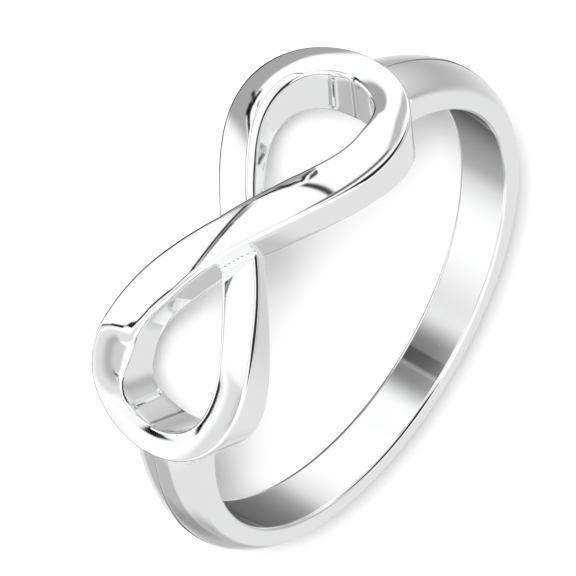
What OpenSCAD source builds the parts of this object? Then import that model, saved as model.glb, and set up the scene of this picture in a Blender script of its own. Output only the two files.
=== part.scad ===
// A polished finger ring whose front is an infinity sign: one strand that crosses over itself and is
// cast in one piece with a plain domed band. The ring lies on its side, as it rests by itself.

/* [Finger hole] */
// Inner diameter of the ring
finger_d = 17.3; // [16:0.1:19]

/* [Band] */
// Width of the band at the back
band_w_back = 2; // [1.8:0.1:2.4]
// Width of the band half way round, at the sides
band_w_side = 2.6; // [2.4:0.1:2.8]
// Width of the band where it meets the sign
band_w_front = 2.9; // [2.7:0.1:3.1]
// Thickness of the band at the back
band_t_back = 1.35; // [1.2:0.05:1.5]
// Thickness of the band beside the sign
band_t_front = 1.8; // [1.7:0.05:2]
// Radius of the domed outer face, across the band
crown_r = 1.8; // [1.7:0.05:2.2]

/* [Infinity sign] */
// Length over both loops, measured along the curve of the top
sign_len = 17.3; // [16.5:0.1:18]
// Width over the loops
sign_w = 6.6; // [6.2:0.1:7]
// Radius of the curve that the sign's top follows
sign_arc_r = 14.65; // [13.5:0.05:16]
// Height of the sign's top above the finger, in the middle
sign_h = 1.35; // [1.2:0.05:1.6]
// How full the loops are: 0 is a plain bow, 1 a true lemniscate
loop_full = 0.28; // [0:0.02:0.6]

/* [Strand] */
// Width of the strand at the crossing
strand_w_mid = 1.4; // [1.2:0.05:1.6]
// Width of the strand along the loops' sides
strand_w_side = 1.25; // [1.1:0.05:1.4]
// Width of the strand round the loops' ends
strand_w_end = 1.1; // [1:0.05:1.3]
// How far the upper strand rises at the crossing
cross_rise = 0.35; // [0.2:0.05:0.5]
// How far the lower strand dips at the crossing
cross_dip = 0.5; // [0.3:0.05:0.6]
// Depth of the rounding across the strand's top
top_round = 0.4; // [0.2:0.05:0.5]

/* [Hidden] */
$fn = 96;

finger_r = finger_d / 2;
band_r = finger_r + band_t_back;

// The shoulders flare: each is a wider circle that leaves the band's circle at the ring's side. The
// shift is a round number, so that their sections meet exactly.
front_angle = 50;
front_r = finger_r + band_t_front;
front_x = front_r * sin(front_angle);
front_y = front_r * cos(front_angle);
flare = round(50 * (front_r ^ 2 - band_r ^ 2) / (band_r - front_x)) / 100;
flare_angle = 60;

// Size of the block that the band's section is cut from
section_depth = 2 * band_t_back;

// Strand: centre line, as half lengths
half_len = (sign_len - strand_w_end) / 2;
half_high = (sign_w - strand_w_side) / 2;
// Where along the half length the loops are widest, and how far from the crossing the rise reaches
widest_at = 0.62;
cross_reach = 4.6;
// Centre of the curve that the sign's top follows, in front of the finger's axis
arc_centre = finger_r + sign_h - sign_arc_r;
// The strand starts below the finger's surface, where the finger hole then trims it
root_gap = 0.4;
root_r = reach_finger(degrees(sign_len / 2)) - root_gap;
// Rings of points along half the strand, and points across its top
rings = 60;
top_points = 8;
// Exponent of the strand's rounded top: 2 / 3 gives a flat middle with round shoulders
top_power = 2 / 3;

// The band's ends stop inside the strand at the loops' ends
tuck = 0.25;

function degrees(s) = s / sign_arc_r * 180 / PI;
function ease(u) = (1 - cos(180 * max(0, min(1, u)))) / 2;
function blend(a, b, u) = a + (b - a) * ease(u);
function unit(v) = v / norm(v);

// Distance from the arc's centre, in the direction a, to the finger's surface
function reach_finger(a) =
    -arc_centre * cos(a) + sqrt(finger_r ^ 2 - (arc_centre * sin(a)) ^ 2);

// The infinity sign, flat: a figure of eight that t runs round once
function eight(t) =
    [half_len * cos(t), 2 * half_high * sqrt(1 + loop_full) * sin(t) * cos(t)]
    / (1 + loop_full * sin(t) ^ 2);
function along(t) = unit(eight(t + 0.01) - eight(t - 0.01));
function across(t) = [-along(t).y, along(t).x];

function half_width(t) =
    let (q = abs(eight(t).x) / half_len)
    q < widest_at
        ? blend(strand_w_mid, strand_w_side, q / widest_at) / 2
        : blend(strand_w_side, strand_w_end, (q - widest_at) / (1 - widest_at)) / 2;

// Radius of the strand's top: t past 180 is the upper strand, before 180 the lower one
function top_r(t) =
    sign_arc_r + (t > 180 ? cross_rise : -cross_dip) * ease(1 - abs(eight(t).x) / cross_reach);

// A flat place [s, z] at radius r from the arc's centre, as a point of the ring
function on_ring(p, r) =
    [r * sin(degrees(p.x)), -(arc_centre + r * cos(degrees(p.x))), p.y];

function signed_power(v, e) = sign(v) * abs(v) ^ e;

// One ring of points round the strand: root, rounded top, root
function strand_ring(t) =
    let (c = eight(t), n = across(t), w = half_width(t), r = top_r(t))
    [
        on_ring(c + n * w, root_r),
        for (i = [0 : top_points])
            let (a = 180 * i / top_points)
            on_ring(
                c + n * w * signed_power(cos(a), top_power),
                r - top_round + top_round * signed_power(sin(a), top_power)
            ),
        on_ring(c - n * w, root_r)
    ];

// How the ring rests: on the far side of both loops and on the back of the band
back_edge = band_r - crown_r + sqrt(crown_r ^ 2 - band_half(band_r) ^ 2);
back_half = band_half(back_edge);
tilt = max([
    for (t = [0 : 180 / rings : 360])
        let (p = eight(t) + across(t) * half_width(t) * sign(cos(t)) * sign(sin(t)))
        let (foot = on_ring(p, reach_finger(degrees(p.x))))
        atan((abs(foot.z) - back_half) / (back_edge - foot.y))
]);
rest_height = back_edge * sin(tilt) + back_half * cos(tilt);
// The ring's middle from front to back is at 0 once it rests
back_reach = (band_r - crown_r) * cos(tilt) + crown_r;
front_reach = max([
    for (t = [0 : 180 / rings : 360], p = strand_ring(t)) -p.y * cos(tilt) - p.z * sin(tilt)
]);
rest_shift = (front_reach - back_reach) / 2;

// Half width of the band at a distance y behind the finger's axis
function band_half(y) =
    y > 0
        ? (band_w_side + (band_w_back - band_w_side) * y / band_r) / 2
        : (band_w_side + (band_w_front - band_w_side) * -y / front_y) / 2;

// Section of the band, with its crown at radius r
module band_section(r) {
    intersection() {
        translate([r - crown_r, 0]) circle(crown_r);
        translate([r - section_depth, -section_depth]) square([section_depth, 2 * section_depth]);
    }
}

module shoulder() {
    translate([-flare, 0, 0])
        rotate_extrude(angle = -flare_angle) band_section(band_r + flare);
}

// Everything between the band's two flat sides, which draw in towards the back
module band_sides() {
    reach = 2 * band_r;
    rotate([90, 0, 90])
        linear_extrude(height = 2 * reach, center = true)
            polygon([
                [-reach, -band_half(-reach)],
                [0, -band_half(0)],
                [reach, -band_half(reach)],
                [reach, band_half(reach)],
                [0, band_half(0)],
                [-reach, band_half(-reach)]
            ]);
}

// What lies in front of the band's ends, inside the loops
module between_ends() {
    a = degrees(half_len - tuck);
    reach = 2 * sign_arc_r;
    translate([0, -arc_centre, 0])
        linear_extrude(height = 2 * sign_w, center = true)
            polygon([[0, 0], reach * [-sin(a), -cos(a)], reach * [sin(a), -cos(a)]]);
}

module band() {
    difference() {
        intersection() {
            union() {
                rotate_extrude(angle = 180) band_section(band_r);
                for (turn = [0, 180])
                    rotate([0, turn, 0]) shoulder();
            }
            band_sides();
        }
        between_ends();
    }
}

// Half of the sign, from one loop's end through the crossing to the other's
module strand(from) {
    points = [for (i = [0 : rings]) each strand_ring(from + 180 * i / rings)];
    m = top_points + 3;
    polyhedron(
        points,
        [
            [for (j = [0 : m - 1]) j],
            [for (j = [m - 1 : -1 : 0]) rings * m + j],
            for (i = [0 : rings - 1], j = [0 : m - 1])
                let (a = i * m + j, b = i * m + (j + 1) % m)
                each [[a, a + m, b], [b, a + m, b + m]]
        ]
    );
}

module infinity_ring() {
    color("silver")
        translate([0, rest_shift, rest_height])
            rotate([-tilt, 0, 0])
                difference() {
                    union() {
                        band();
                        strand(0);
                        strand(180);
                    }
                    cylinder(r = finger_r, h = 2 * sign_w, center = true);
                }
}

infinity_ring();
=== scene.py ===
"""A polished silver finger ring with an infinity sign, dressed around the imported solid.

Lengths in the classes are in millimetres in the ring's own frame: the finger's axis is Z, the sign
faces -Y and its loops lie along X. Resting.matrix() leans and lifts that frame to the resting ring.
"""
import logging
import math
from dataclasses import dataclass, field
from enum import Enum
from typing import ClassVar

import bmesh
import bpy
from mathutils import Matrix, Vector


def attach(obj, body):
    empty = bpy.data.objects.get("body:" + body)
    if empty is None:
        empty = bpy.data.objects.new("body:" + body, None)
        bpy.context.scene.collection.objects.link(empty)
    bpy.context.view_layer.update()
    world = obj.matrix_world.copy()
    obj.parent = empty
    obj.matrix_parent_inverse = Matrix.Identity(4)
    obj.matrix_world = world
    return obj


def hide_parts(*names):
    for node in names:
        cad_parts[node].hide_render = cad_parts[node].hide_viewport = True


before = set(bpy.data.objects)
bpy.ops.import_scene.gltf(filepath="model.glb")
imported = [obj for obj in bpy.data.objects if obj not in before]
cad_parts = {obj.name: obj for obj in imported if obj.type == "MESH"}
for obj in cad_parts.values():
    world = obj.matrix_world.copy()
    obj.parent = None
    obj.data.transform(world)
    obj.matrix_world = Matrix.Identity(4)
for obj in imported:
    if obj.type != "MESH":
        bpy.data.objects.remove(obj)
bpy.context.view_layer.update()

log = logging.getLogger("infinity_ring")

MM = 0.001
BODY = "root"
NODE = "infinity_ring"

Triple = tuple[float, float, float]

# Points nearer than this, in millimetres, close a sweep's seam
SEAM = 1e-4
# A wall too far away for anything to blend into it
FAR_WALL: list[Triple] = [(0, 0, 500), (1, 0, 500), (0, 1, 500)]
# Patches of haze and swells of the surface in a metre of metal, and a swell's height in metres
HAZE_SCALE = 420
SWELL_SCALE = 260
SWELL_HEIGHT = 1e-4


class Strand(Enum):
    """The two halves of the figure-eight strand, by how they pass the crossing."""

    UNDER = "under"
    OVER = "over"


@dataclass(frozen=True)
class Resting:
    """How the ring's own frame lies on the floor."""

    tilt_deg: float = 7.67331
    shift: float = 0.195671
    height: float = 2.29481

    def matrix(self) -> Matrix:
        """Return the matrix from the ring's frame in millimetres to the resting ring in metres."""
        lean = Matrix.Rotation(-math.radians(self.tilt_deg), 4, "X")
        return Matrix.Scale(MM, 4) @ Matrix.Translation((0, self.shift, self.height)) @ lean


class Term:
    """A number that a geometry tree works out for each point, with Python's own operators.

    Args:
        tree: The node tree that the number lives in.
        socket: The output socket that gives it.
    """

    def __init__(self, tree: bpy.types.NodeTree, socket: bpy.types.NodeSocket) -> None:
        """Keep the tree and the socket."""
        self.tree = tree
        self.socket = socket

    def made(self, operation: str, *values: "Term | float") -> "Term":
        """Add one math node.

        Args:
            operation: The node's operation.
            values: Its inputs in order.

        Returns:
            The node's result.
        """
        node = self.tree.nodes.new("ShaderNodeMath")
        node.operation = operation
        for slot, value in zip(node.inputs, values):
            if isinstance(value, Term):
                self.tree.links.new(value.socket, slot)
            else:
                slot.default_value = float(value)
        return Term(self.tree, node.outputs[0])

    def __add__(self, other: "Term | float") -> "Term":
        """Return the sum."""
        return self.made("ADD", self, other)

    def __radd__(self, other: float) -> "Term":
        """Return the sum."""
        return self.made("ADD", other, self)

    def __sub__(self, other: "Term | float") -> "Term":
        """Return the difference."""
        return self.made("SUBTRACT", self, other)

    def __rsub__(self, other: float) -> "Term":
        """Return the difference."""
        return self.made("SUBTRACT", other, self)

    def __mul__(self, other: "Term | float") -> "Term":
        """Return the product."""
        return self.made("MULTIPLY", self, other)

    def __rmul__(self, other: float) -> "Term":
        """Return the product."""
        return self.made("MULTIPLY", other, self)

    def __truediv__(self, other: "Term | float") -> "Term":
        """Return the quotient."""
        return self.made("DIVIDE", self, other)

    def __neg__(self) -> "Term":
        """Return the number with its sign changed."""
        return self.made("MULTIPLY", self, -1.0)

    def sin(self) -> "Term":
        """Return the sine."""
        return self.made("SINE", self)

    def cos(self) -> "Term":
        """Return the cosine."""
        return self.made("COSINE", self)

    def sign(self) -> "Term":
        """Return -1, 0 or 1."""
        return self.made("SIGN", self)

    def sqrt(self) -> "Term":
        """Return the square root."""
        return self.made("SQRT", self)

    def abs(self) -> "Term":
        """Return the size without the sign."""
        return self.made("ABSOLUTE", self)

    def clamped(self) -> "Term":
        """Return the number kept between 0 and 1."""
        return self.made("MINIMUM", self.made("MAXIMUM", self, 0.0), 1.0)

    def at_least(self, low: "Term | float") -> "Term":
        """Return the larger of the two."""
        return self.made("MAXIMUM", self, low)

    def eased(self) -> "Term":
        """Return a smooth step from 0 to 1 as the number goes from 0 to 1."""
        return (1.0 - (self.clamped() * math.pi).cos()) * 0.5

    def fillet(self, radius: "Term") -> "Term":
        """Return how far a surface rises near a wall.

        Args:
            radius: The fillet's radius. The number itself is the distance from the wall.

        Returns:
            The rise, from the radius at the wall to nothing at the fillet's edge.
        """
        near = (1.0 - self / radius).clamped()
        return radius * (1.0 - (1.0 - near * near).at_least(0.0).sqrt())


class SweepTree:
    """A geometry tree that lays a grid of points, rings along a path by stations of a section.

    Args:
        name: The tree's name.
        numbers: The names of its number inputs.
    """

    def __init__(self, name: str, numbers: tuple[str, ...]) -> None:
        """Make the tree with its named inputs, the grid and the section's samples."""
        self.tree = bpy.data.node_groups.new(name, "GeometryNodeTree")
        face = self.tree.interface
        face.new_socket(name="Geometry", in_out="INPUT", socket_type="NodeSocketGeometry")
        for label, kind in (("Rings", "Int"), ("Stations", "Int"), ("Section", "Object"),
                            ("Wall", "Object"), ("Finish", "Material")):
            face.new_socket(name=label, in_out="INPUT", socket_type=f"NodeSocket{kind}")
        for label in numbers:
            face.new_socket(name=label, in_out="INPUT", socket_type="NodeSocketFloat")
        face.new_socket(name="Geometry", in_out="OUTPUT", socket_type="NodeSocketGeometry")
        self.entry = self.tree.nodes.new("NodeGroupInput")
        self._grid()

    def _grid(self) -> None:
        """Add the grid, the ring number from 0 to 1 and the section's sample at each point."""
        nodes, links = self.tree.nodes, self.tree.links
        self.grid = nodes.new("GeometryNodeMeshGrid")
        links.new(self.entry.outputs["Rings"], self.grid.inputs["Vertices X"])
        links.new(self.entry.outputs["Stations"], self.grid.inputs["Vertices Y"])
        place = nodes.new("ShaderNodeSeparateXYZ")
        links.new(nodes.new("GeometryNodeInputPosition").outputs[0], place.inputs[0])
        self.along = Term(self.tree, place.outputs["X"]) + 0.5
        index = Term(self.tree, nodes.new("GeometryNodeInputIndex").outputs[0])
        station = index.made("MODULO", index, self.number("Stations"))
        section = nodes.new("GeometryNodeObjectInfo")
        links.new(self.entry.outputs["Section"], section.inputs["Object"])
        sample = nodes.new("GeometryNodeSampleIndex")
        sample.data_type = "FLOAT_VECTOR"
        links.new(section.outputs["Geometry"], sample.inputs["Geometry"])
        links.new(nodes.new("GeometryNodeInputPosition").outputs[0], sample.inputs["Value"])
        links.new(station.socket, sample.inputs["Index"])
        split = nodes.new("ShaderNodeSeparateXYZ")
        links.new(sample.outputs[0], split.inputs[0])
        self.side, self.depth, self.high = (Term(self.tree, split.outputs[k]) for k in "XYZ")

    def number(self, label: str) -> Term:
        """Return one of the tree's inputs as a term."""
        return Term(self.tree, self.entry.outputs[label])

    def wall_distance(self, point: bpy.types.NodeSocket) -> Term:
        """Measure how far a point is from the wall object.

        Args:
            point: The socket with the point's place.

        Returns:
            The distance to the wall's nearest face.
        """
        nodes, links = self.tree.nodes, self.tree.links
        wall = nodes.new("GeometryNodeObjectInfo")
        links.new(self.entry.outputs["Wall"], wall.inputs["Object"])
        near = nodes.new("GeometryNodeProximity")
        near.target_element = "FACES"
        links.new(wall.outputs["Geometry"], near.inputs[0])
        links.new(point, near.inputs["Sample Position"])
        return Term(self.tree, near.outputs["Distance"])

    def point(self, x: Term, y: Term, z: Term) -> bpy.types.NodeSocket:
        """Join three numbers into a place.

        Args:
            x: The place along X.
            y: The place along Y.
            z: The place along Z.

        Returns:
            The socket with the place.
        """
        join = self.tree.nodes.new("ShaderNodeCombineXYZ")
        for slot, value in zip(join.inputs, (x, y, z)):
            self.tree.links.new(value.socket, slot)
        return join.outputs[0]

    def close(self, place: bpy.types.NodeSocket) -> bpy.types.NodeTree:
        """Move the grid's points to their place, close the section's seam and set the finish.

        Args:
            place: The socket with each point's place.

        Returns:
            The finished tree.
        """
        nodes, links = self.tree.nodes, self.tree.links
        move = nodes.new("GeometryNodeSetPosition")
        weld = nodes.new("GeometryNodeMergeByDistance")
        weld.inputs["Distance"].default_value = SEAM
        real = nodes.new("GeometryNodeRealizeInstances")
        finish = nodes.new("GeometryNodeSetMaterial")
        leave = nodes.new("NodeGroupOutput")
        links.new(self.grid.outputs["Mesh"], move.inputs["Geometry"])
        links.new(place, move.inputs["Position"])
        links.new(move.outputs[0], weld.inputs[0])
        links.new(weld.outputs[0], real.inputs[0])
        links.new(real.outputs[0], finish.inputs["Geometry"])
        links.new(self.entry.outputs["Finish"], finish.inputs["Material"])
        links.new(finish.outputs[0], leave.inputs[0])
        return self.tree


def placed(name: str, data: bpy.types.ID) -> bpy.types.Object:
    """Make an object and put it in the scene.

    Args:
        name: The object's name.
        data: The mesh, light or camera that it shows.

    Returns:
        The object.
    """
    shown = bpy.data.objects.new(name, data)
    bpy.context.scene.collection.objects.link(shown)
    return shown


def mesh_object(name: str, points: list[Triple], faces: list[tuple[int, ...]]) -> bpy.types.Object:
    """Make a mesh and an object that shows it.

    Args:
        name: The name of both.
        points: The mesh's points.
        faces: Its faces, as numbers of points.

    Returns:
        The object.
    """
    mesh = bpy.data.meshes.new(name)
    mesh.from_pydata(points, [], faces)
    return placed(name, mesh)


def section_object(name: str, stations: list[Triple]) -> bpy.types.Object:
    """Make the small mesh that a sweep samples its section from.

    Args:
        name: The object's name.
        stations: Side from -1 to 1, depth in millimetres and height from 0 to 1, going round.

    Returns:
        The object, with the first station repeated at the end.
    """
    return mesh_object(name, [*stations, stations[0]], [])


def swept(name: str, tree: bpy.types.NodeTree, values: dict[str, object]) -> bpy.types.Object:
    """Run a sweep tree and keep its result as a plain mesh.

    Args:
        name: The new object's name.
        tree: The sweep's tree.
        values: The tree's inputs by name.

    Returns:
        An object that holds the mesh, still in millimetres.
    """
    host = placed(name, bpy.data.meshes.new(name))
    modifier = host.modifiers.new("Sweep", "NODES")
    modifier.node_group = tree
    for item in tree.interface.items_tree:
        if item.item_type == "SOCKET" and item.in_out == "INPUT" and item.name in values:
            modifier[item.identifier] = values[item.name]
    seen = host.evaluated_get(bpy.context.evaluated_depsgraph_get())
    mesh = bpy.data.meshes.new_from_object(seen)
    host.modifiers.remove(modifier)
    host.data = mesh
    return host


def arc_stations(low_deg: float, high_deg: float, count: int) -> list[tuple[float, float]]:
    """List points on a unit circle from one angle to another, ends included.

    Args:
        low_deg: The first point's angle.
        high_deg: The last point's angle.
        count: How many points there are.

    Returns:
        Each point's two coordinates.
    """
    step = (high_deg - low_deg) / (count - 1)
    angles = [math.radians(low_deg + step * i) for i in range(count)]
    return [(math.cos(a), math.sin(a)) for a in angles]


@dataclass(frozen=True)
class Section:
    """A section's fixed part: how its edges are rounded and how many stations it has.

    Lengths are in millimetres on a section that is 2 * half_width wide.
    """

    half_width: float
    edge_round: float
    foot_round: float
    top_stations: int
    edge_stations: int
    wall_stations: int
    foot_stations: int
    inner_shares: ClassVar[tuple[float, ...]] = (0.96, 0.5, 0.0, -0.5, -0.96)

    def flat_edge(self) -> float:
        """Return the side, from 0 to 1, where the top ends and its rounded edge begins."""
        return 1 - self.edge_round / self.half_width

    def top_places(self) -> list[float]:
        """List the sides of the top's stations, from one rounded edge to the other."""
        span = self.top_stations - 1
        return [self.flat_edge() * (2 * i / span - 1) for i in range(self.top_stations)]

    def stations(self, top_places: list[float]) -> list[Triple]:
        """List the stations: top, rounded edge, wall with a rounded foot, inner face, and back up.

        Args:
            top_places: The sides of the top's stations.

        Returns:
            Side from -1 to 1, depth in millimetres and height from 0 to 1, going round.
        """
        top = [(place, 0.0, 1.0) for place in top_places]
        edge = [
            (1 - self.edge_round / self.half_width * (1 - c), self.edge_round * (1 - s), 1.0)
            for c, s in arc_stations(90, 0, self.edge_stations)
        ][1:]
        gap, steps = self.foot_round - self.edge_round, self.wall_stations
        wall = [(1.0, self.edge_round + gap * i / steps, 1 - i / steps) for i in range(1, steps)]
        foot = [
            (1 - self.foot_round / self.half_width * (1 - c), self.foot_round * (1 - s), 0.0)
            for c, s in arc_stations(0, 90, self.foot_stations)
        ]
        right = edge + wall + foot
        inner = [(foot[-1][0] * share, 0.0, 0.0) for share in self.inner_shares]
        left = [(-side, depth, high) for side, depth, high in reversed(right)]
        return top + right + inner + left


@dataclass(frozen=True)
class Crest:
    """Where the strand's top is level across, from one wall (-1) to the other (1).

    The level line starts at one place and takes three smooth steps; each step has its middle and
    its spread along the ring's X, in millimetres.
    """

    LABELS: ClassVar[tuple[str, ...]] = ("Crest start", *(
        f"{what} {count}" for count in (1, 2, 3) for what in ("Bend", "Spread", "Step")))

    start: float
    steps: tuple[Triple, ...]

    def values(self) -> dict[str, float]:
        """Return the numbers by the names of the tree's inputs."""
        return dict(zip(self.LABELS, (self.start, *(v for step in self.steps for v in step))))

    @classmethod
    def line(cls, sweep: SweepTree, x: Term) -> Term:
        """Add the nodes that give the level line.

        Args:
            sweep: The tree.
            x: Place of the centre line along the ring's X.

        Returns:
            Where the top is level, from one wall (-1) to the other (1).
        """
        level = sweep.number("Crest start")
        for count in (1, 2, 3):
            bend, spread, step = (sweep.number(f"{w} {count}") for w in ("Bend", "Spread", "Step"))
            level = level + ((x - bend) / spread + 0.5).eased() * step
        return level


@dataclass(frozen=True)
class HalfStrand:
    """What sets one half of the strand apart from the other.

    The lift is at the crossing and fades over the reach. Each widening, for the upper loop's side
    and for the lower loop's, moves the top's edge beside the loop's gap.
    """

    from_turn: float
    crest: Crest
    lift: float
    reach: float
    fillet: float
    flatness: float
    bevel: float
    edge_hold: float
    widening_upper: float
    widening_lower: float


@dataclass(frozen=True)
class Fades:
    """How fast the strand's local shapes come and go.

    A rate is per millimetre along the ring's X, except the last four. Those for the loops' ends are
    per half length, hole_side is per half width, and foot is per millimetre of depth.
    """

    loop_switch: float = 20.0
    widening: float = 0.42
    bevel: float = 0.7
    hold_from: float = 2.6
    hold: float = 1.6
    end_share: float = 0.95
    end: float = 4.0
    lean_end: float = 5.0
    hole_side: float = 2.0
    foot: float = 4.0


@dataclass
class Sign:
    """The infinity sign: one strand that runs a figure of eight and crosses over itself."""

    INPUTS: ClassVar[tuple[str, ...]] = (
        "From", "Half length", "Half height", "Fullness", "Arc radius", "Arc centre",
        "Finger radius", "Width middle", "Width side", "Width end", "Widest at", "Lift", "Reach",
        "Fillet", "Dome", "Flatness", "Bevel", "Bevel from", "Edge hold", "Widening end",
        "Widening upper", "Widening lower", *Crest.LABELS)

    halves: dict[Strand, HalfStrand] = field(default_factory=lambda: {
        Strand.OVER: HalfStrand(
            math.pi, Crest(-0.92, ((0.46, 3.35, 2.27), (4.3, 1.8, -0.9), (4.98, 1.1, -1.65))),
            lift=0.55, reach=5.4, fillet=0.001, flatness=0.0, bevel=0.0, edge_hold=1.0,
            widening_upper=0.13, widening_lower=0.31),
        Strand.UNDER: HalfStrand(
            0.0, Crest(-0.28, ((-3.4, 2.0, -0.57), (0.6, 2.0, 1.95), (4.1, 1.6, -0.5))),
            lift=-0.5, reach=4.6, fillet=0.18, flatness=0.28, bevel=0.07, edge_hold=0.0,
            widening_upper=-0.04, widening_lower=0.0),
    })
    fades: Fades = field(default_factory=Fades)
    finger_r: float = 8.65
    half_len: float = 8.1
    half_high: float = 2.675
    loop_full: float = 0.28
    arc_r: float = 14.65
    arc_centre: float = -4.65
    width_mid: float = 1.4
    width_side: float = 1.25
    width_end: float = 1.1
    widest_at: float = 0.62
    dome: float = 0.13
    bevel_from: float = 0.72
    end_widening: float = 0.2
    rings: int = 361

    def section(self) -> Section:
        """Return the strand's section."""
        return Section(
            half_width=self.width_side / 2, edge_round=0.12, foot_round=0.14,
            top_stations=41, edge_stations=6, wall_stations=7, foot_stations=5)

    def stations(self) -> list[Triple]:
        """List the stations of the strand's section."""
        section = self.section()
        return section.stations(section.top_places())

    def _path(self, sweep: SweepTree) -> tuple[Term, Term, Term, Term]:
        """Add the nodes that give the strand's centre line, laid flat.

        Args:
            sweep: The tree.

        Returns:
            The line's x and z, and how fast each changes along it.
        """
        half_len, full = sweep.number("Half length"), sweep.number("Fullness")
        turn = sweep.number("From") + sweep.along * math.pi
        sin, cos = turn.sin(), turn.cos()
        below = 1.0 + full * sin * sin
        tall = sweep.number("Half height") * 2.0 * (1.0 + full).sqrt()
        dx = -(half_len * sin * (1.0 + full + full * cos * cos))
        dz = tall * (cos * cos - sin * sin * (1.0 + full))
        return half_len * cos / below, tall * sin * cos / below, dx, dz

    def _half_width(self, sweep: SweepTree, share: Term) -> Term:
        """Add the nodes that give half of the strand's width.

        Args:
            sweep: The tree.
            share: The place as a share of the half length.

        Returns:
            The half width.
        """
        middle, wide = sweep.number("Width middle"), sweep.number("Width side")
        widest = sweep.number("Widest at")
        return (
            middle
            + (wide - middle) * (share / widest).eased()
            + (sweep.number("Width end") - wide) * ((share - widest) / (1.0 - widest)).eased()
        ) * 0.5

    def _widening(self, sweep: SweepTree, x: Term, away: Term) -> Term:
        """Add the nodes that widen the strand towards the loops' gaps.

        Args:
            sweep: The tree.
            x: Place of the centre line along the ring's X.
            away: 1 along the loops' sides, 0 at their ends, where the halves have to meet.

        Returns:
            How far the top's edge beside the gap is moved.
        """
        upper = (-x * self.fades.loop_switch).clamped()
        return (
            upper * (sweep.number("Widening end") + sweep.number("Widening upper") * away)
            + (1.0 - upper) * sweep.number("Widening lower") * away
        ) * (x.abs() * self.fades.widening).clamped()

    def _top(self, sweep: SweepTree, x: Term, slope: Term, share: Term, away: Term,
             offset: Term, half: Term) -> Term:
        """Add the nodes that give the top its lift, lean and dome.

        Args:
            sweep: The tree.
            x: Place of the centre line along the ring's X.
            slope: How fast the centre line moves across the sign.
            share: The place as a share of the half length.
            away: 1 along the loops' sides, 0 at their ends, where the halves have to meet.
            offset: Distance from the centre line.
            half: Half of the strand's width.

        Returns:
            How high the top lies over the sign's arc.
        """
        fades, reach = self.fades, sweep.number("Reach")
        fall = 1.0 - x.abs() / reach
        lift = sweep.number("Lift") * fall.eased()
        steep = -(sweep.number("Lift") * (math.pi / 2) * (
            fall.clamped() * math.pi).sin() * x.sign()) / reach
        dome = sweep.number("Dome") * (
            1.0 - sweep.number("Flatness") * away * (x * fades.bevel).clamped())
        held = ((1.0 - share) * fades.lean_end).eased()
        lean = (dome * Crest.line(sweep, x) - steep * slope) * held
        place = offset / half
        held_edge = sweep.number("Edge hold") * (
            (-x - fades.hold_from) * fades.hold).clamped() * away
        round_at = place - (place - sweep.side) * held_edge
        return lift + offset * lean - half * dome * round_at * round_at * 0.5

    def tree(self) -> bpy.types.NodeTree:
        """Build the tree that sweeps half of the strand.

        Returns:
            The tree, with the inputs that INPUTS names.
        """
        sweep = SweepTree("strand_sweep", self.INPUTS)
        fades, side, high, depth = self.fades, sweep.side, sweep.high, sweep.depth
        arc_r, centre = sweep.number("Arc radius"), sweep.number("Arc centre")
        x, z, dx, dz = self._path(sweep)
        speed = (dx * dx + dz * dz).sqrt()
        share = x.abs() / sweep.number("Half length")
        half = self._half_width(sweep, share)
        bevel_from = sweep.number("Bevel from")
        inside = ((side.abs() - bevel_from) / (self.section().flat_edge() - bevel_from)).clamped()
        hole_side = (side * x.sign() * fades.hole_side).clamped()
        away = ((fades.end_share - share) * fades.end).eased()
        offset = half * side + self._widening(sweep, x, away) * inside * hole_side * side.sign()
        bevel = sweep.number("Bevel") * inside * inside * hole_side * away * (
            -x * fades.bevel).clamped()
        top = self._top(sweep, x, dz / speed, share, away, offset, half) - bevel
        out = offset / speed
        angle = (x - dz * out) / arc_r
        across, finger = centre * angle.sin(), sweep.number("Finger radius")
        foot = (finger * finger - across * across).sqrt() - centre * angle.cos()
        first = high * (arc_r + top - depth) + (1.0 - high) * (foot + depth)
        bare = sweep.point(first * angle.sin(), -(centre + first * angle.cos()), z + dx * out)
        # The fillet fades out from one third of the reach to two thirds
        crossing = (2.0 - x.abs() / sweep.number("Reach") * 3.0).eased()
        rise = sweep.wall_distance(bare).fillet(sweep.number("Fillet")) * crossing
        out = out * (1.0 + rise / half * high.clamped() * (depth * fades.foot).clamped())
        angle = (x - dz * out) / arc_r
        radius = first + rise * high
        return sweep.close(
            sweep.point(radius * angle.sin(), -(centre + radius * angle.cos()), z + dx * out))

    def half(self, which: Strand, tree: bpy.types.NodeTree, section: bpy.types.Object,
             wall: bpy.types.Object, finish: bpy.types.Material) -> bpy.types.Object:
        """Sweep one half of the strand.

        Args:
            which: The half that passes over or the half that passes under.
            tree: The sweep's tree.
            section: The object with the section's stations.
            wall: The object that the half blends into where it comes near.
            finish: The material.

        Returns:
            The half, open at the ends of the loops.
        """
        part = self.halves[which]
        return swept(f"strand_{which.value}", tree, {
            "Rings": self.rings, "Stations": len(section.data.vertices), "Section": section,
            "Wall": wall, "Finish": finish, "From": part.from_turn,
            "Half length": self.half_len, "Half height": self.half_high,
            "Fullness": self.loop_full, "Arc radius": self.arc_r, "Arc centre": self.arc_centre,
            "Finger radius": self.finger_r, "Width middle": self.width_mid,
            "Width side": self.width_side, "Width end": self.width_end,
            "Widest at": self.widest_at, "Lift": part.lift, "Reach": part.reach,
            "Fillet": part.fillet, "Dome": self.dome, "Flatness": part.flatness,
            "Bevel": part.bevel, "Bevel from": self.bevel_from, "Edge hold": part.edge_hold,
            "Widening end": self.end_widening, "Widening upper": part.widening_upper,
            "Widening lower": part.widening_lower, **part.crest.values(),
        })


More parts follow.
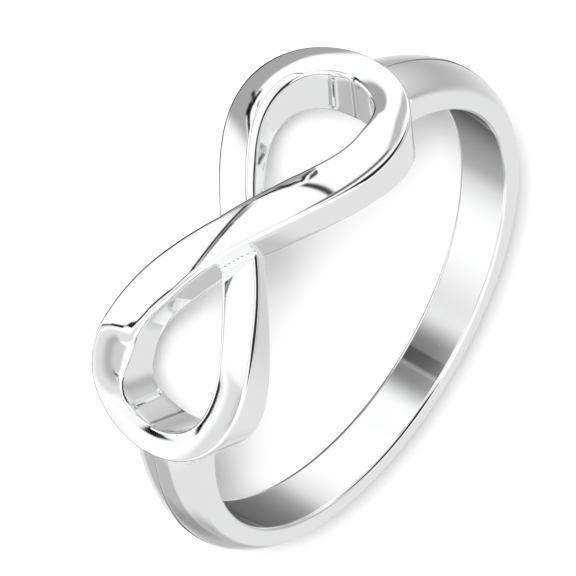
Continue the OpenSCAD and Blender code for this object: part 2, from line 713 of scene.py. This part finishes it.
@dataclass
class Band:
    """The plain band: flat inside, domed outside, flaring towards the sign."""

    finger_r: float = 8.65
    thick_back: float = 1.35
    flare: float = 2.31
    half_back: float = 1.0
    half_side: float = 1.3
    half_front: float = 1.45
    front_y: float = 6.71713
    crown_back: float = 0.53
    crown_front: float = 0.58
    ridge: float = 0.045
    end_deg: float = 46.5
    fillet: float = 0.45
    rings: int = 401
    crowding: float = 0.85
    crown_gap: float = 0.001

    def section(self) -> Section:
        """Return the band's section."""
        return Section(
            half_width=self.half_side, edge_round=0.14, foot_round=0.16,
            top_stations=25, edge_stations=6, wall_stations=5, foot_stations=6)

    def stations(self) -> list[Triple]:
        """List the section's stations, two of them close together at the ridge of the crown.

        Returns:
            Side from -1 to 1, depth in millimetres and height from 0 to 1, going round.
        """
        section = self.section()
        places = section.top_places()
        middle = len(places) // 2
        places[middle:middle + 1] = [-self.crown_gap, self.crown_gap]
        return section.stations(places)

    def tree(self) -> bpy.types.NodeTree:
        """Build the tree that sweeps the band.

        Returns:
            The tree.
        """
        sweep = SweepTree("band_sweep", (
            "End", "Crowding", "Finger radius", "Back radius", "Flare", "Half back", "Half side",
            "Half front", "Front", "Crown back", "Crown front", "Ridge", "Fillet"))
        end = sweep.number("End")
        turn = sweep.along * (2 * math.pi)
        even = sweep.along - sweep.number("Crowding") * turn.sin() / (2 * math.pi)
        phi = end + even * (2 * math.pi - end * 2.0)
        sin, cos = phi.sin(), phi.cos()
        back, flare = sweep.number("Back radius"), sweep.number("Flare")
        front = cos.at_least(0.0)
        wide, shift = back + flare, flare * front
        crown_r = (wide * wide - shift * shift).sqrt() - flare * (
            1.0 - front * front).at_least(0.0).sqrt()
        crown = sweep.number("Crown back") + (
            sweep.number("Crown front") - sweep.number("Crown back")) * (cos * 0.5 + 0.5)
        finger = sweep.number("Finger radius")
        dome = crown_r - crown * sweep.side * sweep.side - sweep.depth - sweep.number(
            "Ridge") * sweep.side.abs()
        first = sweep.high * dome + (1.0 - sweep.high) * (finger + sweep.depth)
        behind = -(first * cos)
        side = sweep.number("Half side")
        half = (
            side + (sweep.number("Half back") - side) * behind.at_least(0.0) / back
            + (sweep.number("Half front") - side) * (-behind).at_least(0.0)
            / sweep.number("Front")
        )
        z = half * sweep.side
        near = sweep.wall_distance(sweep.point(first * sin, -(first * cos), z))
        rise = near.fillet(sweep.number("Fillet"))
        radius = first + rise * sweep.high
        return sweep.close(
            sweep.point(radius * sin, -(radius * cos), z + rise * sweep.side))

    def made(self, section: bpy.types.Object, wall: bpy.types.Object,
             finish: bpy.types.Material) -> bpy.types.Object:
        """Sweep the band.

        Args:
            section: The object with the section's stations.
            wall: The strand's object, which the band's ends blend into.
            finish: The material.

        Returns:
            The band, open at its ends inside the strand.
        """
        return swept("band", self.tree(), {
            "Rings": self.rings, "Stations": len(section.data.vertices), "Section": section,
            "Wall": wall, "Finish": finish, "End": math.radians(self.end_deg),
            "Crowding": self.crowding, "Finger radius": self.finger_r,
            "Back radius": self.finger_r + self.thick_back, "Flare": self.flare,
            "Half back": self.half_back, "Half side": self.half_side,
            "Half front": self.half_front, "Front": self.front_y,
            "Crown back": self.crown_back, "Crown front": self.crown_front,
            "Ridge": self.ridge, "Fillet": self.fillet,
        })


@dataclass(frozen=True)
class PolishedSilver:
    """Silver with a mirror polish."""

    color: Triple = (0.925, 0.927, 0.93)
    roughness: float = 0.035
    patchiness: float = 0.03
    wave: float = 0.02

    def material(self) -> bpy.types.Material:
        """Build the material with its polish marks.

        Returns:
            The material.
        """
        made = bpy.data.materials.new("polished_silver")
        made.use_nodes = True
        nodes, links = made.node_tree.nodes, made.node_tree.links
        shader = nodes["Principled BSDF"]
        shader.inputs["Base Color"].default_value = (*self.color, 1)
        shader.inputs["Metallic"].default_value = 1.0
        marks = nodes.new("ShaderNodeGroup")
        marks.node_tree = polish_marks()
        marks.inputs["Roughness"].default_value = self.roughness
        marks.inputs["Patchiness"].default_value = self.patchiness
        marks.inputs["Wave"].default_value = self.wave
        links.new(marks.outputs["Roughness"], shader.inputs["Roughness"])
        links.new(marks.outputs["Normal"], shader.inputs["Normal"])
        return made


def polish_marks() -> bpy.types.NodeTree:
    """Build the group that gives polished metal its uneven gloss and faint waviness.

    Returns:
        The group.
    """
    group = bpy.data.node_groups.new("polish_marks", "ShaderNodeTree")
    face = group.interface
    for label in ("Roughness", "Patchiness", "Wave"):
        face.new_socket(name=label, in_out="INPUT", socket_type="NodeSocketFloat")
    face.new_socket(name="Roughness", in_out="OUTPUT", socket_type="NodeSocketFloat")
    face.new_socket(name="Normal", in_out="OUTPUT", socket_type="NodeSocketVector")
    nodes, links = group.nodes, group.links
    entry, leave = nodes.new("NodeGroupInput"), nodes.new("NodeGroupOutput")
    place = nodes.new("ShaderNodeTexCoord")
    haze = nodes.new("ShaderNodeTexNoise")
    haze.inputs["Scale"].default_value = HAZE_SCALE
    haze.inputs["Detail"].default_value = 4
    links.new(place.outputs["Object"], haze.inputs["Vector"])
    spread = nodes.new("ShaderNodeMath")
    spread.operation = "MULTIPLY_ADD"
    links.new(haze.outputs["Fac"], spread.inputs[0])
    links.new(entry.outputs["Patchiness"], spread.inputs[1])
    links.new(entry.outputs["Roughness"], spread.inputs[2])
    links.new(spread.outputs[0], leave.inputs["Roughness"])
    swell = nodes.new("ShaderNodeTexNoise")
    swell.inputs["Scale"].default_value = SWELL_SCALE
    swell.inputs["Detail"].default_value = 1
    links.new(place.outputs["Object"], swell.inputs["Vector"])
    bump = nodes.new("ShaderNodeBump")
    bump.inputs["Distance"].default_value = SWELL_HEIGHT
    links.new(entry.outputs["Wave"], bump.inputs["Strength"])
    links.new(swell.outputs["Fac"], bump.inputs["Height"])
    links.new(bump.outputs["Normal"], leave.inputs["Normal"])
    return group


@dataclass
class Casting:
    """The whole ring in one piece: the band and both halves of the strand, joined."""

    sign: Sign = field(default_factory=Sign)
    band: Band = field(default_factory=Band)
    resting: Resting = field(default_factory=Resting)
    silver: PolishedSilver = field(default_factory=PolishedSilver)
    sharp_deg: float = 32.0

    def made(self) -> bpy.types.Object:
        """Build the casting and give it its finish.

        Returns:
            The piece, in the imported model's frame.
        """
        finish = self.silver.material()
        section = section_object("strand_section", self.sign.stations())
        far = mesh_object("far_wall", FAR_WALL, [(0, 1, 2)])
        tree = self.sign.tree()
        over = self.sign.half(Strand.OVER, tree, section, far, finish)
        under = self.sign.half(Strand.UNDER, tree, section, over, finish)
        loop = joined("sign", [over, under])
        profile = section_object("band_section", self.band.stations())
        band = self.band.made(profile, loop, finish)
        capped(band)
        piece = united(loop, band)
        coat(piece, finish)
        for scrap in (section, profile, far, band):
            bpy.data.objects.remove(scrap)
        piece.name = "silver_casting"
        piece.data.transform(self.resting.matrix())
        piece.data.shade_smooth()
        piece.data.set_sharp_from_angle(angle=math.radians(self.sharp_deg))
        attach(piece, BODY)
        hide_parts(NODE)
        return piece


def coat(shown: bpy.types.Object, finish: bpy.types.Material) -> None:
    """Give every face of a mesh one finish, in place of those it had.

    Args:
        shown: The mesh's object.
        finish: The material.
    """
    shown.data.materials.clear()
    shown.data.materials.append(finish)
    shown.data.polygons.foreach_set("material_index", [0] * len(shown.data.polygons))


def joined(name: str, parts: list[bpy.types.Object]) -> bpy.types.Object:
    """Join open sweeps that meet end to end into one closed mesh.

    Args:
        name: The new object's name.
        parts: The sweeps, which are removed.

    Returns:
        One object whose faces point outwards.
    """
    whole = bmesh.new()
    for part in parts:
        whole.from_mesh(part.data)
        bpy.data.objects.remove(part)
    bmesh.ops.remove_doubles(whole, verts=whole.verts, dist=SEAM)
    bmesh.ops.recalc_face_normals(whole, faces=whole.faces)
    mesh = bpy.data.meshes.new(name)
    whole.to_mesh(mesh)
    whole.free()
    return placed(name, mesh)


def capped(shown: bpy.types.Object) -> None:
    """Close the open ends of a sweep and turn its faces outwards.

    Args:
        shown: The sweep's object.
    """
    work = bmesh.new()
    work.from_mesh(shown.data)
    bmesh.ops.remove_doubles(work, verts=work.verts, dist=SEAM / 10)
    rims = [edge for edge in work.edges if edge.is_boundary]
    bmesh.ops.holes_fill(work, edges=rims, sides=0)
    bmesh.ops.recalc_face_normals(work, faces=work.faces)
    work.to_mesh(shown.data)
    work.free()


def united(first: bpy.types.Object, second: bpy.types.Object) -> bpy.types.Object:
    """Join two overlapping closed meshes, and a mesh's own crossings, into one outer skin.

    Args:
        first: The mesh that may pass through itself. It is removed.
        second: The mesh that is joined to it.

    Returns:
        The united object.
    """
    boolean = first.modifiers.new("Unite", "BOOLEAN")
    boolean.operation = "UNION"
    boolean.solver = "EXACT"
    boolean.use_self = True
    boolean.object = second
    seen = first.evaluated_get(bpy.context.evaluated_depsgraph_get())
    shown = placed("united", bpy.data.meshes.new_from_object(seen))
    bpy.data.objects.remove(first)
    return shown


@dataclass(frozen=True)
class Flag:
    """A soft-edged grey or black card in the studio, placed by where it stands around the ring.

    Angles are in degrees: round the ring from the front (0) towards its +X side, and up from the
    plane of the band. A flag of the mirrored kind stands on both sides alike.

    Attributes:
        name: What it is for.
        left: Where it begins, going round.
        right: Where it ends, going round.
        low: Its lower edge.
        high: Its upper edge.
        dark: The share of the light that it takes. Below 0 it adds light.
        side_soft: How many degrees its left and right edges fade over.
        edge_soft: How many degrees its lower and upper edges fade over.
        mirrored: Whether it stands on both sides.
        lean: How far it moves round for each degree up.
    """

    name: str
    left: float
    right: float
    low: float
    high: float
    dark: float
    side_soft: float = 4.0
    edge_soft: float = 2.0
    mirrored: bool = False
    lean: float = 0.0


FLAGS: tuple[Flag, ...] = (
    Flag("front_gap", -28, 24.5, -27.2, -24.9, 0.8, 17, 0.4),
    Flag("front_gap_fade", 0, 60, -27.2, -24.9, 0.3, 40, 0.4),
    Flag("front_core", -5.4, 3.6, -27.2, -24.9, 0.72, 1.6, 0.4),
    Flag("front_core_fade", -3, 10, -27.2, -24.9, 0.3, 10, 0.4),
    Flag("front_glint", -7.8, -4.8, -27.2, -24.9, -0.45, 1.5, 0.4),
    Flag("back_gap", 76, 230, -28.2, -24.0, 0.5, 44, 1.2, True),
    Flag("back_gap_deep", 108, 250, -28.2, -24.0, 0.78, 62, 1.2, True),
    Flag("low_line", -45, 57, -29.6, -27.0, 0.98, 2, 0.6),
    Flag("low_line_left", -42, -26, -31.5, -27.2, 0.98, 4, 1.0),
    Flag("low_line_right", 36, 57, -31.2, -27.2, 0.98, 3, 1.0),
    Flag("left_hook_root", -44.4, -41.0, -34, -26.8, 0.9, 1.2, 0.4, False, 0.45),
    Flag("left_hook", -41.9, -38.7, -25.3, -7, 0.98, 1.2, 1.5, False, 0.45),
    Flag("left_end", 28, 54, -18, 8, 0.38, 8, 8),
    Flag("grey_ground", -125, -3, -75, -29, 0.62, 20, 2),
    Flag("dark_ground", -140, -54, -85, -42, 0.88, 10, 6),
    Flag("pale_ground", 56, 125, -60, -27, 0.4, 6, 12),
    Flag("horizon_line", -50, 40, -8, -5, 0.88, 8, 1.0),
    Flag("dark_ceiling", -100, -8, 12, 91, 0.97, 14, 8),
    Flag("dark_floor", -181, 181, -91, -64, 0.95, 1, 8),
    Flag("dark_floor_left", -181, -80, -91, -38, 0.9, 20, 8),
    Flag("back_wall", 98, 197, -91, 70, 0.24, 16, 20, True),
    Flag("hole_shade_low", 100, 156, -62, -26.6, 0.36, 12, 3),
    Flag("hole_shade_high", 100, 156, -25.4, -4, 0.36, 12, 3),
    Flag("strand_shade", 136, 172, -4, 17, 0.28, 10, 6),
    Flag("lobe_shade", 22, 92, -24.6, -4, 0.26, 10, 5),
    Flag("far_end_shade", -90, -70, -22, -4, 0.5, 6, 4, False, 2.0),
    Flag("left_shade", -168, -92, -50, 60, 0.45, 45, 12),
    Flag("right_shade", 128, 172, -28, 8, 0.35, 12, 10),
)


@dataclass
class Studio:
    """The pale floor, the soft surroundings with their flags, the key light and the camera."""

    floor_half: float = 0.6
    floor_tone: float = 0.95
    floor_roughness: float = 0.6
    floor_gloss: float = 0.2
    glow: float = 0.56
    shine: float = 1.08
    flags: tuple[Flag, ...] = FLAGS
    key_energy: float = 6.2
    key_size: float = 0.18
    key_place: Triple = (0.01, -0.427, 0.194)
    lens: float = 312.5
    sensor: float = 36
    camera_axes: tuple[Triple, ...] = (
        (-0.5096503, 0.7688505, -0.3861675),
        (0.8601409, 0.4446870, -0.2498223),
        (-0.0203523, -0.4594805, -0.8879546),
    )
    camera_place: Triple = (4.119050, 83.198513, 165.051593)

    def camera(self, resting: Resting) -> bpy.types.Object:
        """Place the camera at the photograph's angle.

        Args:
            resting: How the ring lies, because the angle is known from the ring's own frame.

        Returns:
            The scene's camera.
        """
        across, down, ahead = (Vector((a[0], -a[2], a[1])) for a in self.camera_axes)
        x, y, z = self.camera_place
        turn = Matrix((across, -down, -ahead)).transposed().to_4x4()
        place = Matrix.Translation(Vector((x, -z, y)))
        data = bpy.data.cameras.new("photo_camera")
        data.lens = self.lens
        data.sensor_width = self.sensor
        data.clip_start, data.clip_end = 0.01, 10
        shown = placed("photo_camera", data)
        world = resting.matrix() @ place @ turn
        shown.location = world.to_translation()
        shown.rotation_mode = "QUATERNION"
        shown.rotation_quaternion = (resting.matrix() @ turn).to_3x3().normalized().to_quaternion()
        bpy.context.scene.camera = shown
        return shown

    def floor(self) -> bpy.types.Object:
        """Lay the plain pale floor, which the metal doesn't mirror.

        Returns:
            The floor.
        """
        half = self.floor_half
        corners = [(-half, -half, 0), (half, -half, 0), (half, half, 0), (-half, half, 0)]
        shown = mesh_object("floor", corners, [(0, 1, 2, 3)])
        paint = bpy.data.materials.new("pale_floor")
        paint.use_nodes = True
        shader = paint.node_tree.nodes["Principled BSDF"]
        shader.inputs["Base Color"].default_value = (*[self.floor_tone] * 3, 1)
        shader.inputs["Roughness"].default_value = self.floor_roughness
        shader.inputs["Specular IOR Level"].default_value = self.floor_gloss
        shown.data.materials.append(paint)
        shown.visible_glossy = False
        return shown

    def surroundings(self, resting: Resting) -> bpy.types.World:
        """Light the scene from all round, with flags that only the metal mirrors.

        Args:
            resting: How the ring lies, because the flags stand around the ring's own axis.

        Returns:
            The scene's world.
        """
        world = bpy.data.worlds.new("studio")
        bpy.context.scene.world = world
        world.use_nodes = True
        nodes, links = world.node_tree.nodes, world.node_tree.links
        split = nodes.new("ShaderNodeSeparateXYZ")
        links.new(nodes.new("ShaderNodeTexCoord").outputs["Generated"], split.inputs[0])
        x, y, z = (Term(world.node_tree, split.outputs[k]) for k in "XYZ")
        lean = math.radians(resting.tilt_deg)
        front = z * math.sin(lean) - y * math.cos(lean)
        up = y * math.sin(lean) + z * math.cos(lean)
        round_deg = x.made("ARCTAN2", x, front) * (180 / math.pi)
        up_deg = up.made("ARCSINE", up) * (180 / math.pi)
        light: Term | float = self.shine
        for flag in self.flags:
            light = light * self._shade(flag, round_deg, up_deg)
        glossy = Term(world.node_tree, nodes.new("ShaderNodeLightPath").outputs["Is Glossy Ray"])
        strength = self.glow + (light - self.glow) * glossy
        back = nodes["Background"]
        back.inputs["Color"].default_value = (1, 1, 1, 1)
        links.new(strength.socket, back.inputs["Strength"])
        return world

    @staticmethod
    def _shade(flag: Flag, round_deg: Term, up_deg: Term) -> Term:
        """Add the nodes that give how much light one flag leaves.

        Args:
            flag: The flag.
            round_deg: The direction's angle round the ring.
            up_deg: Its angle up from the plane of the band.

        Returns:
            The share of the light that is left.
        """
        at = round_deg.abs() if flag.mirrored else round_deg
        if flag.lean:
            at = at - (up_deg - flag.low) * flag.lean
        cover = (
            ((at - flag.left) / flag.side_soft).eased()
            * ((flag.right - at) / flag.side_soft).eased()
            * ((up_deg - flag.low) / flag.edge_soft).eased()
            * ((flag.high - up_deg) / flag.edge_soft).eased()
        )
        return 1.0 - cover * flag.dark

    def key(self) -> bpy.types.Object:
        """Hang the soft key light low in front of the ring, aimed at it.

        Returns:
            The light, which the metal doesn't mirror.
        """
        data = bpy.data.lights.new("key", "AREA")
        data.energy, data.size = self.key_energy, self.key_size
        shown = placed("key", data)
        shown.location = self.key_place
        shown.rotation_mode = "QUATERNION"
        shown.rotation_quaternion = (-Vector(shown.location)).to_track_quat("-Z", "Y")
        shown.visible_glossy = False
        return shown


def main() -> None:
    """Build the ring, then the studio round it."""
    logging.basicConfig(level=logging.INFO, format="%(message)s")
    casting = Casting()
    piece = casting.made()
    log.info("%s: %d faces", piece.name, len(piece.data.polygons))
    studio = Studio()
    studio.floor()
    studio.surroundings(casting.resting)
    studio.key()
    studio.camera(casting.resting)
    bpy.context.scene.view_settings.view_transform = "Standard"


if __name__ == "__main__":
    main()
